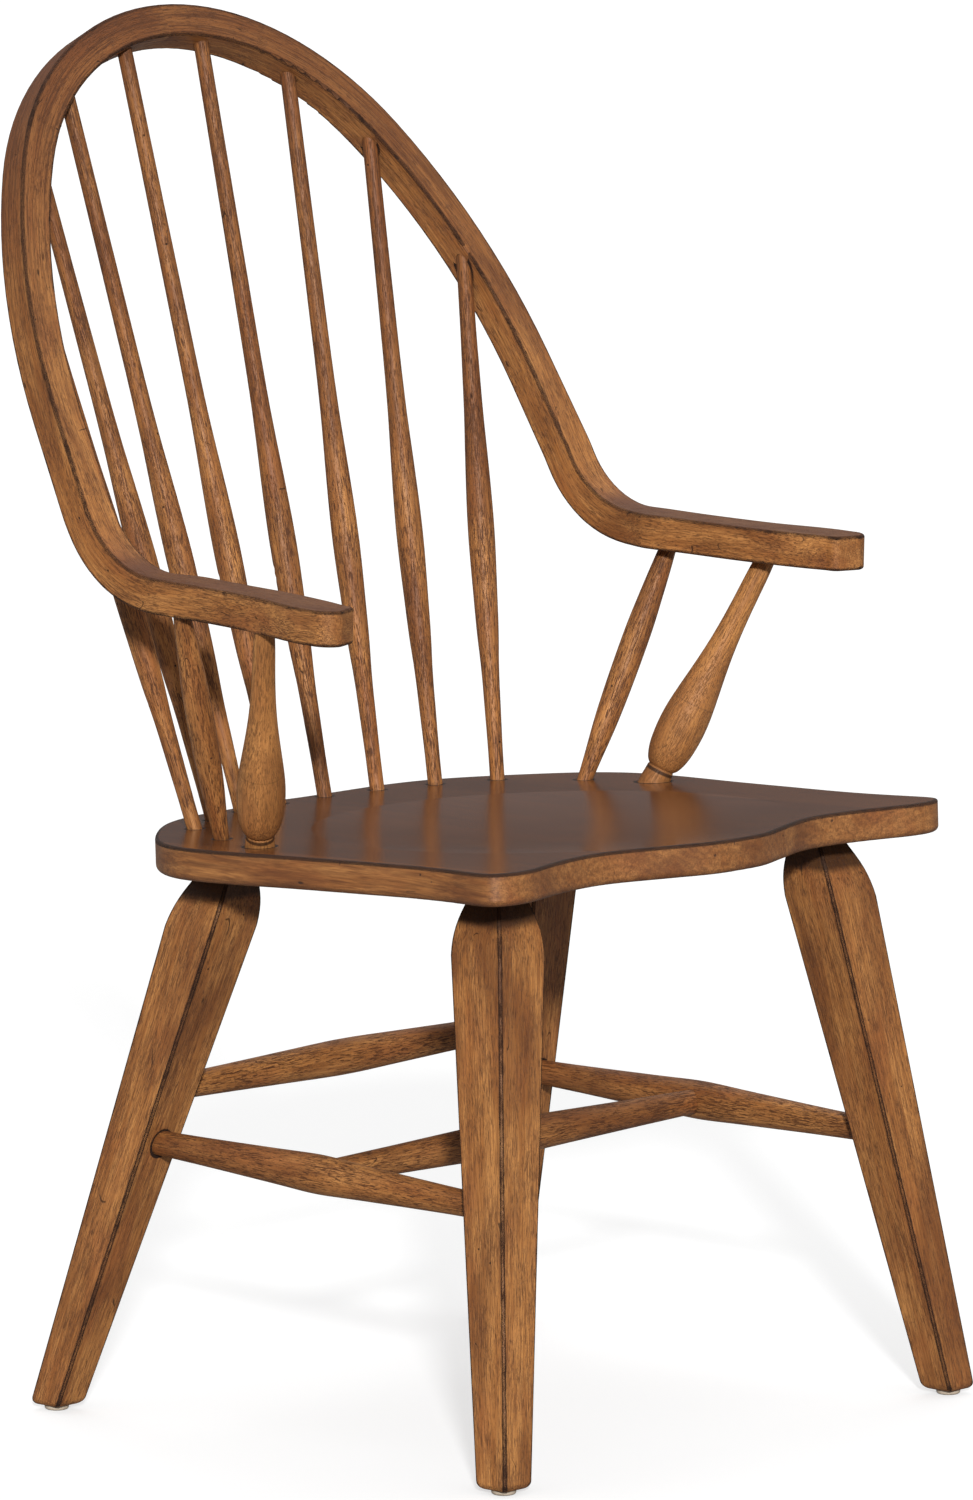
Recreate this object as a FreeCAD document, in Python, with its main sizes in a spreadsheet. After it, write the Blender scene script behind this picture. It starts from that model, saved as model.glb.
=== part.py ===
import FreeCAD, Part
import math
import os
from FreeCAD import Placement, Rotation, Vector

# Windsor armchair with a continuous bent bow that is both back and arms.
# +Z is up and the chair faces -Y. The sitter's left is +X.
# While the pieces are made, y is counted from the middle of the seat. At the end all of them
# move together, so that the origin lies on the floor under the middle of the chair.

SIZES = {
    # Seat: a shaped board that is a little higher at the front
    "seat_rear_height": 452.2,
    "seat_rear_y": 212.0,
    "seat_tilt": 2.29,
    "seat_half_width": 265.0,
    "seat_depth": 478.0,
    "seat_thickness": 25.5,
    "seat_top_round": 2.0,
    "seat_bottom_round": 5.0,
    "dish_depth": 6.0,
    "dish_radius": 188.0,
    "dish_from_rear": 284.0,
    # Legs: square, splayed both ways, widest below a domed shoulder
    "front_foot_x": 258.3,
    "front_foot_y": -254.3,
    "front_leg_lean_x": 9.62,
    "front_leg_lean_y": 9.66,
    "rear_foot_x": 255.9,
    "rear_foot_y": 218.4,
    "rear_leg_lean_x": 10.5,
    "rear_leg_lean_y": 14.8,
    "foot_side": 30.6,
    "foot_round": 6.0,
    "shoulder_side": 51.8,
    "shoulder_rise": 47.0,
    "neck_side": 29.0,
    "leg_edge_bevel": 1.6,
    "leg_tenon_dia": 22.0,
    "leg_tenon_length": 16.0,
    # Glides: nailed discs that the chair stands on
    "glide_height": 4.0,
    "glide_dia": 19.0,
    "glide_flat_dia": 11.0,
    "glide_rim": 1.2,
    "nail_dia": 3.0,
    "nail_length": 15.0,
    # Stretchers: turned, with a soft belly in the middle
    "side_stretcher_front_height": 207.7,
    "side_stretcher_rear_height": 214.7,
    "rear_stretcher_height": 253.1,
    "stretcher_end_dia": 19.5,
    "side_stretcher_belly_dia": 30.5,
    "cross_stretcher_belly_dia": 28.5,
    "rear_stretcher_belly_dia": 28.5,
    "stretcher_tenon_length": 14.0,
    "cross_tenon_length": 11.0,
    # Long back spindles: turned to one pattern, with their feet at even steps on an arc
    "spindle_pattern_length": 598.0,
    "spindle_arc_radius": 323.0,
    "spindle_arc_inset": 14.8,
    "spindle_foot_step": 9.3,
    "spindle_top_x_1": 43.4,
    "spindle_top_x_2": 125.0,
    "spindle_top_x_3": 186.4,
    "spindle_top_x_4": 237.4,
    "spindle_foot_dia": 11.7,
    "spindle_belly_dia": 21.3,
    "spindle_top_dia": 12.0,
    # Short spindles under the arms
    "short_foot_x": 208.5,
    "short_foot_y": 84.3,
    "short_top_x": 278.9,
    "short_top_y": 58.2,
    "short_foot_dia": 12.0,
    "short_belly_dia": 21.4,
    "short_top_dia": 13.2,
    # Turned posts that carry the hands of the arms
    "post_foot_x": 226.6,
    "post_foot_y": 26.7,
    "post_top_x": 287.5,
    "post_top_y": -36.5,
    "post_foot_dia": 23.5,
    "post_collar_top_dia": 21.8,
    "post_groove_dia": 20.6,
    "post_bulb_dia": 37.6,
    "post_top_dia": 15.5,
    # Bow: one strip bent over the back and forward into the arms
    "bow_foot_y": 3.97,
    "bow_lean": 29.05,
    "bow_depth": 27.5,
    "bow_height": 708.4,
    "bow_outer_crown_radius": 248.7,
    "bow_outer_side_radius": 486.9,
    "bow_outer_crown_turn": 58.7,
    "bow_outer_side_turn": 84.6,
    "bow_crown_width": 27.4,
    "bow_inner_crown_radius": 216.6,
    "bow_inner_side_radius": 446.2,
    "bow_inner_crown_turn": 56.3,
    "bow_inner_side_turn": 86.2,
    "bow_foot_turn_radius": 120.0,
    "bow_corner_height": 216.8,
    "bow_bend_radius": 76.0,
    "arm_length": 251.0,
    "arm_drop": 1.56,
    "arm_width": 38.0,
    "hand_outer_round": 15.0,
    "hand_inner_round": 7.0,
    "hand_slant": 5.0,
    "bow_edge_round": 2.2,
    # Joints
    "seat_tenon_length": 14.0,
    "bow_tenon_length": 8.5,
    "arm_tenon_length": 12.0,
    "socket_clearance": 0.2,
    "socket_end_gap": 0.4,
    "cut_overrun": 2.0,
}

# Half of the seat's outline, from the middle of the rear edge round to the middle of the front:
# shares of the half width, and of the depth counted forward.
SEAT_OUTLINE_SHARES = (
    (0.0, 0.0), (0.226, 0.006), (0.472, 0.019), (0.604, 0.046), (0.717, 0.088), (0.823, 0.138),
    (0.898, 0.18), (0.955, 0.226), (0.989, 0.276), (1.0, 0.339), (0.996, 0.402), (0.981, 0.485),
    (0.962, 0.653), (0.955, 0.799), (0.97, 0.877), (0.979, 0.916), (0.974, 0.944), (0.906, 0.967),
    (0.838, 0.967), (0.706, 0.946), (0.558, 0.929), (0.442, 0.929), (0.294, 0.956), (0.2, 0.977),
    (0.102, 0.996), (0.0, 1.0),
)

# The domed shoulder of a leg: shares of its rise, and of the way in from shoulder to neck.
SHOULDER_SHARES = ((0.0, 0.0), (0.30, 0.12), (0.55, 0.35), (0.78, 0.67), (1.0, 1.0))

# Turns of the quarter round at the edge of a sole, in degrees.
SOLE_TURNS = (0, 30, 60, 90)

# Turned profiles: shares of the length, and of the way out from the thinner end to the belly.
SIDE_STRETCHER_SHARES = ((0.18, 0.30), (0.30, 0.56), (0.41, 0.82), (0.5, 1.0))
CROSS_STRETCHER_SHARES = ((0.12, 0.22), (0.25, 0.50), (0.38, 0.80), (0.5, 1.0))
REAR_STRETCHER_SHARES = ((0.12, 0.22), (0.25, 0.50), (0.38, 0.80), (0.5, 1.0))
SPINDLE_SHARES = (
    (0.046, 0.02), (0.10, 0.146), (0.153, 0.302), (0.193, 0.573), (0.246, 0.78), (0.29, 0.927),
    (0.335, 1.0), (0.392, 0.863), (0.445, 0.621), (0.498, 0.36), (0.551, 0.221), (0.657, 0.137),
    (0.817, 0.053),
)
SPINDLE_NECK_SHARE = 0.551
SHORT_SPINDLE_SHARES = (
    (0.118, 0.31), (0.228, 0.66), (0.339, 0.87), (0.45, 0.97), (0.561, 1.0), (0.672, 0.93),
    (0.783, 0.68), (0.894, 0.38),
)
POST_SHARES = (
    (0.07, 0.20), (0.095, 0.52), (0.129, 0.76), (0.18, 0.93), (0.244, 1.0), (0.30, 0.965),
    (0.359, 0.855), (0.475, 0.57), (0.59, 0.32), (0.705, 0.17), (0.82, 0.10), (0.935, 0.06),
)
POST_COLLAR_SHARE = 0.055
POST_GROOVE_SHARE = 0.062

# Both sides of an arm in plan, from the bend to the hand: shares of the arm's length,
# and of its width counted outward from that side of the bend.
ARM_OUTER_SHARES = (
    (0.19, 0.06), (0.30, 0.08), (0.42, 0.11), (0.54, 0.18), (0.66, 0.29), (0.78, 0.50),
    (0.86, 0.60), (0.93, 0.62),
)
ARM_INNER_SHARES = (
    (0.25, -0.18), (0.34, -0.13), (0.46, -0.06), (0.58, -0.01), (0.72, 0.10), (0.86, 0.28),
    (0.94, 0.43),
)

# How far the bow's outlines run past the corner of the bend, as a share of the bow's depth.
BEND_OVERLAP_SHARE = 0.4

PARTS_FOLDER = "parts"
SIDES = (("right", -1), ("left", 1))

doc = FreeCAD.newDocument("windsor_armchair")
sheet = doc.addObject("Spreadsheet::Sheet", "Sizes")
for row, (alias, value) in enumerate(SIZES.items(), start=1):
    sheet.set(f"A{row}", alias)
    sheet.set(f"B{row}", str(value))
    sheet.setAlias(f"B{row}", alias)
doc.recompute()

nodes = []


def size(alias):
    """Value of one named size, read from the sheet."""
    return float(sheet.get(alias))


def angle(alias):
    """Named angle in radians."""
    return math.radians(size(alias))


def new_body(label, placement=None):
    """Empty body for one sub-part."""
    body = doc.addObject("PartDesign::Body", label)
    body.Label = label
    if placement is not None:
        body.Placement = placement
    nodes.append(body)
    return body


def origin_plane(body, role):
    """One of the body's own origin planes."""
    return next(item for item in body.Origin.OriginFeatures if item.Role == role)


def new_sketch(body, name, role, offset=None):
    """Sketch on an origin plane of its body, moved by an offset where one is given."""
    sketch = body.newObject("Sketcher::SketchObject", name)
    sketch.AttachmentSupport = (origin_plane(body, role), [""])
    sketch.MapMode = "FlatFace"
    if offset is not None:
        sketch.AttachmentOffset = offset
    return sketch


def add_lines(sketch, points):
    """Straight lines from point to point."""
    for start, end in zip(points, points[1:]):
        sketch.addGeometry(Part.LineSegment(start, end), False)


def spline_through(points, closed=False, tangents=None):
    """Smooth curve through the points."""
    curve = Part.BSplineCurve()
    if tangents is None:
        curve.interpolate(points, PeriodicFlag=closed)
    else:
        curve.interpolate(points, InitialTangent=tangents[0], FinalTangent=tangents[1])
    return curve


def sharp_edges(shape, least_turn=0.35):
    """Names of the edges where two faces meet at a clear angle."""
    names = []
    for index, edge in enumerate(shape.Edges, start=1):
        faces = shape.ancestorsOfType(edge, Part.Face)
        if len(faces) < 2:
            continue
        middle = edge.valueAt((edge.FirstParameter + edge.LastParameter) / 2)
        normals = []
        for face in faces[:2]:
            u, v = face.Surface.parameter(middle)
            normals.append(face.normalAt(u, v))
        if normals[0].getAngle(normals[1]) > least_turn:
            names.append(f"Edge{index}")
    return names


def round_cylinder(kind, body, name, start, end, radius):
    """Tenon or socket: a round bar from start to end, added to or cut from the body."""
    bar = body.newObject(f"PartDesign::{kind}Cylinder", name)
    bar.AttachmentSupport = (origin_plane(body, "XY_Plane"), [""])
    bar.MapMode = "FlatFace"
    inverse = body.Placement.inverse()
    local_start = inverse.multVec(start)
    run = inverse.multVec(end) - local_start
    bar.AttachmentOffset = Placement(local_start, Rotation(Vector(0, 0, 1), run))
    bar.Height = run.Length
    bar.setExpression("Radius", radius)
    return bar


def add_tenon(body, name, start, end, radius):
    """Round tenon from start to end."""
    return round_cylinder("Additive", body, name, start, end, radius)


def cut_socket(body, name, mouth, direction, length, radius, slant=0.0):
    """Blind round socket along a unit direction. A slanted mouth starts the cut further out."""
    start = mouth - direction * (size("cut_overrun") + slant)
    end = mouth + direction * (length + size("socket_end_gap"))
    return round_cylinder("Subtractive", body, name, start, end, f"{radius} + Sizes.socket_clearance")


def unit(vector):
    """The same direction with length one."""
    return vector * (1 / vector.Length)


# Planes that the pieces meet on


def seat_top_z(y):
    """Height of the seat's flat top at y."""
    return size("seat_rear_height") + math.tan(angle("seat_tilt")) * (size("seat_rear_y") - y)


def seat_normal():
    """Upward normal of the tilted seat."""
    return Vector(0, math.sin(angle("seat_tilt")), math.cos(angle("seat_tilt")))


def on_bow_plane(x, along, behind):
    """Point at x, a way up the leaning bow's front plane, and behind that plane."""
    lean = angle("bow_lean")
    y = size("bow_foot_y") + math.sin(lean) * along + math.cos(lean) * behind
    z = size("seat_rear_height") + math.cos(lean) * along - math.sin(lean) * behind
    return Vector(x, y, z)


def bow_corner_along():
    """How far up the bow's front plane the arms' top plane meets it."""
    return size("bow_corner_height") / math.cos(angle("bow_lean"))


def bend_tangent():
    """Length from that corner to either end of the bend's front face."""
    turn = math.pi / 2 - angle("bow_lean") - angle("arm_drop")
    return size("bow_bend_radius") * math.tan(turn / 2)


def bow_corner():
    """Where the bow's front plane and the arms' top plane would meet."""
    return on_bow_plane(0, bow_corner_along(), 0)


def arm_under_z(y):
    """Height of the arms' underside at y."""
    corner = bow_corner()
    drop = angle("arm_drop")
    return corner.z - math.tan(drop) * (corner.y - y) - size("bow_depth") / math.cos(drop)


# Turned pieces


def turned(label, start, end, stations, start_tenon, end_tenon, lead=()):
    """Turned bar from start to end through (share, radius) stations, with a tenon at each end.

    start_tenon and end_tenon are (radius expression, length). lead holds straight stations
    before the curve, such as a collar and its groove.
    """
    axis = end - start
    placement = Placement(start, Rotation(Vector(0, 0, 1), axis))
    body = new_body(label, placement)
    profile = new_sketch(body, f"{label}_profile", "XZ_Plane")
    length = axis.Length
    points = [Vector(radius, share * length, 0) for share, radius in stations]
    straight = [Vector(radius, share * length, 0) for share, radius in lead]
    add_lines(profile, [Vector(0, 0, 0)] + (straight or points[:1]))
    if straight:
        add_lines(profile, [straight[-1], points[0]])
    profile.addGeometry(spline_through(points), False)
    add_lines(profile, [points[-1], Vector(0, length, 0), Vector(0, 0, 0)])
    shaped = body.newObject("PartDesign::Revolution", f"{label}_turning")
    shaped.Profile = profile
    shaped.ReferenceAxis = (profile, ["V_Axis"])
    shaped.Angle = 360
    run = unit(axis)
    add_tenon(body, f"{label}_foot", start - run * start_tenon[1], start, start_tenon[0])
    add_tenon(body, f"{label}_head", end, end + run * end_tenon[1], end_tenon[0])
    return body


def profile_stations(shares, first, belly, last):
    """Stations of a turned profile from the diameters of its two ends and its belly."""
    middle = max(range(len(shares)), key=lambda index: shares[index][1])
    stations = [(0.0, first / 2)]
    for index, (along, out) in enumerate(shares):
        thin = first if index < middle else last
        stations.append((along, (thin + out * (belly - thin)) / 2))
    stations.append((1.0, last / 2))
    return stations


def trimmed_above(stations, neck, pattern, length):
    """Stations of a pattern that keeps its own length up to the neck and meets the head above it."""
    held = neck * pattern
    trimmed = []
    for along, radius in stations:
        reach = along * pattern
        if along > neck:
            reach = held + (along - neck) / (1 - neck) * (length - held)
        trimmed.append((reach / length, radius))
    return trimmed


def mirrored(shares):
    """Half a list of shares, from one end to the middle, carried on to the other end."""
    return tuple(shares) + tuple((1 - along, out) for along, out in reversed(shares[:-1]))


# Seat


def seat_outline():
    """Closed outline of the seat in its own plane, with the rear edge on its X axis."""
    half = [
        Vector(across * size("seat_half_width"), -along * size("seat_depth"), 0)
        for across, along in SEAT_OUTLINE_SHARES
    ]
    other = [Vector(-point.x, point.y, 0) for point in reversed(half[1:-1])]
    return half + other


def make_seat():
    """Board with a saddled top, rounded edges and no sockets yet."""
    base = Vector(0, size("seat_rear_y"), size("seat_rear_height"))
    body = new_body("seat", Placement(base, Rotation(Vector(1, 0, 0), -size("seat_tilt"))))
    outline = new_sketch(body, "seat_outline", "XY_Plane")
    outline.addGeometry(spline_through(seat_outline(), closed=True), False)
    board = body.newObject("PartDesign::Pad", "seat_board")
    board.Profile = outline
    board.setExpression("Length", "Sizes.seat_thickness")
    board.Reversed = True
    doc.recompute()
    under = []
    upper = []
    for index, edge in enumerate(board.Shape.Edges, start=1):
        box = edge.BoundBox
        if box.ZLength > size("seat_thickness") / 2:
            continue
        if box.Center.z < -size("seat_thickness") / 2:
            under.append(f"Edge{index}")
        else:
            upper.append(f"Edge{index}")
    rounded = body.newObject("PartDesign::Fillet", "seat_under_round")
    rounded.Base = (board, under)
    rounded.setExpression("Radius", "Sizes.seat_bottom_round")
    doc.recompute()
    top = [
        f"Edge{index}" for index, edge in enumerate(rounded.Shape.Edges, start=1)
        if edge.BoundBox.ZMin > -size("seat_top_round") / 2
    ]
    softened = body.newObject("PartDesign::Fillet", "seat_top_round")
    softened.Base = (rounded, top)
    softened.setExpression("Radius", "Sizes.seat_top_round")
    # The saddle is the cap of a large ball, sunk by the dish's depth.
    depth = size("dish_depth")
    ball = (size("dish_radius") ** 2 + depth ** 2) / (2 * depth)
    dish = body.newObject("PartDesign::SubtractiveSphere", "seat_dish")
    dish.AttachmentSupport = (origin_plane(body, "XY_Plane"), [""])
    dish.MapMode = "FlatFace"
    dish.setExpression("Radius", "(Sizes.dish_radius ^ 2 + Sizes.dish_depth ^ 2) / (2 * Sizes.dish_depth)")
    dish.AttachmentOffset = Placement(Vector(0, -size("dish_from_rear"), ball - depth), Rotation())
    doc.recompute()
    return body


# Legs and glides


def leg_slope(which, side):
    """How far a leg's centre moves in X and Y for each unit of height."""
    inward = math.tan(angle(f"{which}_leg_lean_x"))
    along = math.tan(angle(f"{which}_leg_lean_y"))
    return Vector(-side * inward, along if which == "front" else -along, 1)


def foot_centre(which, side):
    """Centre of a leg's foot on the plane where the glide meets it."""
    return Vector(side * size(f"{which}_foot_x"), size(f"{which}_foot_y"), size("glide_height"))


def leg_centre(which, side, height):
    """Centre of a leg at a height above the floor."""
    return foot_centre(which, side) + leg_slope(which, side) * (height - size("glide_height"))


def leg_top(which, side):
    """Where a leg's centre line meets the seat's underside."""
    foot = foot_centre(which, side)
    slope = leg_slope(which, side)
    fall = math.tan(angle("seat_tilt"))
    under = seat_top_z(foot.y) - size("seat_thickness") / math.cos(angle("seat_tilt"))
    return foot + slope * ((under - foot.z) / (1 + fall * slope.y))


def shoulder_height(which, side):
    """Height of a leg's widest place."""
    return leg_top(which, side).z - size("shoulder_rise")


def leg_side(which, side, height):
    """Side of a leg's square at a height on its taper."""
    taper = (height - size("glide_height")) / (shoulder_height(which, side) - size("glide_height"))
    return size("foot_side") + taper * (size("shoulder_side") - size("foot_side"))


def leg_section(body, name, centre, width, tilt=0.0):
    """Square section with bevelled corners at one height of a leg."""
    local = body.Placement.inverse().multVec(centre)
    sketch = new_sketch(body, name, "XY_Plane", Placement(local, Rotation(Vector(1, 0, 0), -tilt)))
    half = width / 2
    inset = half - size("leg_edge_bevel")
    corners = []
    for quarter in range(4):
        turn = Rotation(Vector(0, 0, 1), 90 * quarter)
        corners.append(turn.multVec(Vector(half, -inset, 0)))
        corners.append(turn.multVec(Vector(half, inset, 0)))
    add_lines(sketch, corners + corners[:1])
    return sketch


def make_leg(which, side_name, side):
    """Tapered square leg with a domed shoulder, a round tenon and a hole for its glide."""
    label = f"{which}_leg_{side_name}"
    foot = foot_centre(which, side)
    top = leg_top(which, side)
    low = shoulder_height(which, side)
    body = new_body(label, Placement(Vector(foot.x, foot.y, 0), Rotation()))
    widest = size("shoulder_side")
    # The sole's edge is a quarter round, given by sections at even turns.
    edge = size("foot_round")
    sole_sections = []
    for index, turn in enumerate(SOLE_TURNS):
        up = edge * (1 - math.cos(math.radians(turn)))
        inset = edge * (1 - math.sin(math.radians(turn)))
        centre = leg_centre(which, side, foot.z + up)
        width = leg_side(which, side, centre.z) - 2 * inset
        sole_sections.append(leg_section(body, f"{label}_sole_{index}", centre, width))
    sole_sections[0].setExpression("AttachmentOffset.Base.z", "Sizes.glide_height")
    sections = []
    for index, (up, inward) in enumerate(SHOULDER_SHARES):
        last = index == len(SHOULDER_SHARES) - 1
        centre = leg_centre(which, side, low + up * size("shoulder_rise"))
        width = widest - inward * (widest - size("neck_side"))
        tilt = size("seat_tilt") if last else 0.0
        sections.append(leg_section(body, f"{label}_section_{index}", centre, width, tilt))
    for name, profile, others, ruled in (
            ("taper", sole_sections[-1], sections[:1], True),
            ("sole", sole_sections[0], sole_sections[1:], False),
            ("dome", sections[0], sections[1:], False)):
        loft = body.newObject("PartDesign::AdditiveLoft", f"{label}_{name}")
        loft.Profile = profile
        loft.Sections = others
        loft.Ruled = ruled
        doc.recompute()
    run = unit(leg_slope(which, side))
    root = top - run * size("leg_tenon_dia") / 2
    add_tenon(body, f"{label}_tenon", root, top + run * size("leg_tenon_length"),
              "Sizes.leg_tenon_dia / 2")
    cut_socket(body, f"{label}_nail_hole", foot, Vector(0, 0, 1), size("nail_length"),
               "Sizes.nail_dia / 2")
    doc.recompute()
    return body


def make_glide(which, side_name, side):
    """Domed disc on a nail under one foot."""
    label = f"glide_{which}_{side_name}"
    foot = foot_centre(which, side)
    body = new_body(label, Placement(Vector(foot.x, foot.y, 0), Rotation()))
    profile = new_sketch(body, f"{label}_profile", "XZ_Plane")
    top = size("glide_height")
    rim = size("glide_dia") / 2
    flat = size("glide_flat_dia") / 2
    nail = size("nail_dia") / 2
    point = top + size("nail_length")
    rim_low = Vector(rim, top - size("glide_rim"), 0)
    dome_end = Vector(flat, 0, 0)
    dome = spline_through([dome_end, rim_low], tangents=(Vector(1, 0, 0), Vector(0, 1, 0)))
    add_lines(profile, [Vector(0, 0, 0), dome_end])
    profile.addGeometry(dome, False)
    add_lines(profile, [
        rim_low, Vector(rim, top, 0), Vector(nail, top, 0), Vector(nail, point - nail * 2, 0),
        Vector(0, point, 0), Vector(0, 0, 0),
    ])
    disc = body.newObject("PartDesign::Revolution", f"{label}_disc")
    disc.Profile = profile
    disc.ReferenceAxis = (profile, ["V_Axis"])
    disc.Angle = 360
    return body


# Bow


def arc_point(centre, radius, turn):
    """Point of a circle at a turn from straight up, towards +X."""
    return centre + Vector(math.sin(turn), math.cos(turn), 0) * radius


class HoopOutline:
    """One outline of the hoop, given for the side at +X.

    A crown arc and a side arc lead into a straight flare, and a last arc turns the flare
    upright where the bend into the arm begins.
    """

    def __init__(self, height, crown_radius, crown_turn, side_radius, side_turn):
        foot_radius = size("bow_foot_turn_radius")
        upright = math.pi / 2
        self.crown_radius = crown_radius
        self.side_radius = side_radius
        self.crown_centre = Vector(0, height - crown_radius, 0)
        self.crown_end = arc_point(self.crown_centre, crown_radius, crown_turn)
        self.side_centre = arc_point(self.crown_centre, crown_radius - side_radius, crown_turn)
        side_end = arc_point(self.side_centre, side_radius, side_turn)
        side_middle = arc_point(self.side_centre, side_radius, (crown_turn + side_turn) / 2)
        foot_along = bow_corner_along() + bend_tangent() + 2 * size("bow_edge_round")
        fall = side_end.y - foot_along - foot_radius * math.cos(side_turn)
        flare_end = side_end + Vector(fall / math.tan(side_turn), -fall, 0)
        foot_middle_turn = (side_turn + upright) / 2
        turn_centre = arc_point(flare_end, -foot_radius, side_turn)
        self.foot = arc_point(turn_centre, foot_radius, upright)
        self.crown = (
            Vector(-self.crown_end.x, self.crown_end.y, 0), Vector(0, height, 0), self.crown_end)
        self.side = (self.crown_end, side_middle, side_end)
        self.flare = (side_end, flare_end)
        self.turn = (flare_end, arc_point(turn_centre, foot_radius, foot_middle_turn), self.foot)

    def along_at(self, x):
        """How far up the hoop's plane the outline is at x, above its flare."""
        if abs(x) < self.crown_end.x:
            return self.crown_centre.y + math.sqrt(self.crown_radius ** 2 - x ** 2)
        across = abs(x) - self.side_centre.x
        return self.side_centre.y + math.sqrt(self.side_radius ** 2 - across ** 2)

    def normal_at(self, x):
        """Outward direction of the outline at x, in the hoop's plane."""
        centre = self.crown_centre
        if abs(x) >= self.crown_end.x:
            centre = self.side_centre
        return unit(Vector(abs(x), self.along_at(x), 0) - centre)

    def draw(self, sketch, low):
        """Add the outline to a sketch, with both feet carried straight down to a level."""
        sketch.addGeometry(Part.Arc(*self.crown), False)
        for sign in (-1, 1):
            for arc in (self.side, self.turn):
                points = [Vector(sign * point.x, point.y, 0) for point in arc]
                sketch.addGeometry(Part.Arc(*points), False)
            add_lines(sketch, [Vector(sign * point.x, point.y, 0) for point in self.flare])
            foot = Vector(sign * self.foot.x, self.foot.y, 0)
            add_lines(sketch, [foot, Vector(foot.x, low, 0)])


def outer_hoop():
    """The hoop's outer outline."""
    return HoopOutline(
        size("bow_height"), size("bow_outer_crown_radius"), angle("bow_outer_crown_turn"),
        size("bow_outer_side_radius"), angle("bow_outer_side_turn"))


def inner_hoop():
    """The hoop's inner outline."""
    return HoopOutline(
        size("bow_height") - size("bow_crown_width"), size("bow_inner_crown_radius"),
        angle("bow_inner_crown_turn"), size("bow_inner_side_radius"), angle("bow_inner_side_turn"))


def strip_outline(sketch):
    """The bow seen from the side: its leaning back, its bend and its arm."""
    drop = angle("arm_drop")
    lean = angle("bow_lean")
    depth = size("bow_depth")
    overrun = size("cut_overrun")
    radius = size("bow_bend_radius")
    up = Vector(math.sin(lean), math.cos(lean), 0)
    forward = Vector(-math.cos(drop), -math.sin(drop), 0)
    behind = Vector(math.cos(lean), -math.sin(lean), 0)
    below = Vector(math.sin(drop), -math.cos(drop), 0)
    corner = up * bow_corner_along()
    tangent = bend_tangent()
    top = up * (size("bow_height") + overrun)
    back_end = corner + up * tangent
    arm_start = corner + forward * tangent
    front = corner + forward * (size("arm_length") + overrun)
    centre = back_end - behind * radius
    outward = unit(behind + below)
    near = centre + outward * radius
    far = centre + outward * (radius + depth)
    arm_under = arm_start + below * depth
    back_behind = back_end + behind * depth
    add_lines(sketch, [top, back_end])
    sketch.addGeometry(Part.Arc(back_end, near, arm_start), False)
    add_lines(sketch, [arm_start, front, front + below * depth, arm_under])
    sketch.addGeometry(Part.Arc(arm_under, far, back_behind), False)
    add_lines(sketch, [back_behind, top + behind * depth, top])


def arm_side(start_x, shares):
    """Points along one side of an arm in plan, from the bend to the hand."""
    points = [Vector(start_x, -size("bow_depth"), 0)]
    for along, out in shares:
        x = start_x + out * size("arm_width")
        points.append(Vector(x, -along * size("arm_length"), 0))
    return points


def hand_corners(inner_tip, outer_tip):
    """Middle and end of the rounded corner on each side of the hand's front."""
    bulge = 1 - math.sqrt(1 / 2)
    front = -size("arm_length")
    corners = []
    for tip, out, end_y in ((inner_tip, size("hand_inner_round"), front + size("hand_slant")),
                            (outer_tip, -size("hand_outer_round"), front)):
        middle = Vector(tip.x + out * bulge, end_y + (tip.y - end_y) * bulge, 0)
        corners.append((middle, Vector(tip.x + out, end_y, 0)))
    return corners


def draw_arm(sketch, side, inner_x, outer_x, back):
    """Outline of one arm in plan, open at the bend."""
    inner = arm_side(inner_x, ARM_INNER_SHARES)
    outer = arm_side(outer_x, ARM_OUTER_SHARES)
    inner_corner, outer_corner = hand_corners(inner[-1], outer[-1])

    def on_side(points):
        return [Vector(side * point.x, point.y, 0) for point in points]

    for run in (inner, outer):
        curve = spline_through(
            on_side(run), tangents=(Vector(0, -1, 0), unit(on_side([run[-1] - run[-2]])[0])))
        sketch.addGeometry(curve, False)
        add_lines(sketch, on_side([Vector(run[0].x, back, 0), run[0]]))
    sketch.addGeometry(Part.Arc(*on_side([inner[-1], *inner_corner])), False)
    sketch.addGeometry(Part.Arc(*on_side([outer[-1], *outer_corner])), False)
    add_lines(sketch, on_side([inner_corner[1], outer_corner[1]]))


def cut_through(body, name, sketch):
    """Cut a sketch's area right through the body, both ways."""
    before = body.Shape.Volume
    cut = body.newObject("PartDesign::Pocket", name)
    cut.Profile = sketch
    cut.Type = "ThroughAll"
    cut.Midplane = True
    doc.recompute()
    if cut.Shape.Volume >= before:
        raise RuntimeError(f"{name} cuts nothing")
    return cut


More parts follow.
